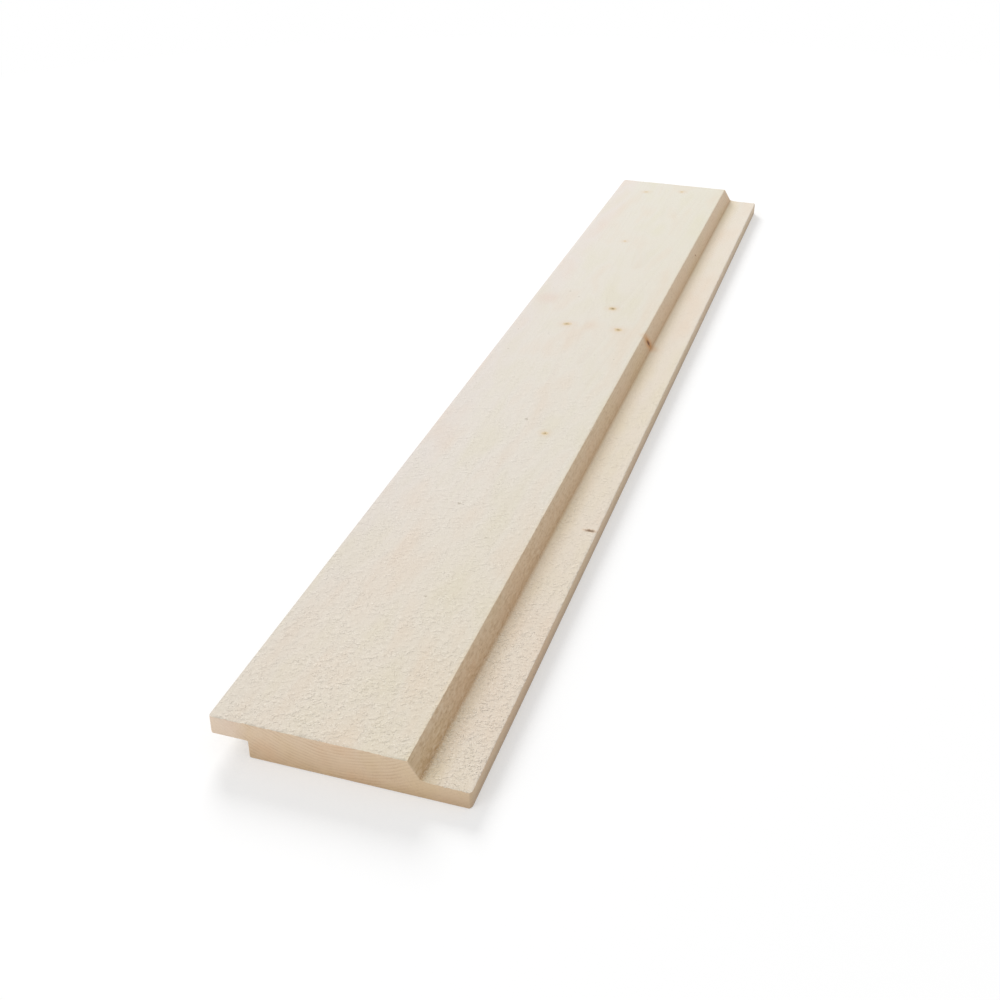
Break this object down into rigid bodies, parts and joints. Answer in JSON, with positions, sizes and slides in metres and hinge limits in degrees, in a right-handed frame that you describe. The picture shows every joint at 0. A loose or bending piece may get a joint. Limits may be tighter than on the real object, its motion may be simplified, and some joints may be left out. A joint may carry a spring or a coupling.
{
  "type": "double rebated cladding board",
  "caption": "Softwood cladding board with a back rebate along one edge and a bevelled front rebate along the other, so that boards lap one over the next on a wall.",
  "frame": {"origin": "on the floor under the middle of the board, at the bottom centre of its bounding box", "axes": "+X across the board towards the bevelled lip, +Y along the grain, +Z out of the weather face"},
  "size_m": [0.145, 0.94, 0.023],
  "materials": {
    "spruce": "fine sawn face, planed edges, bare"
  },
  "bodies": {
    "root": {"cladding_board": "spruce"}
  },
  "joints": []
}
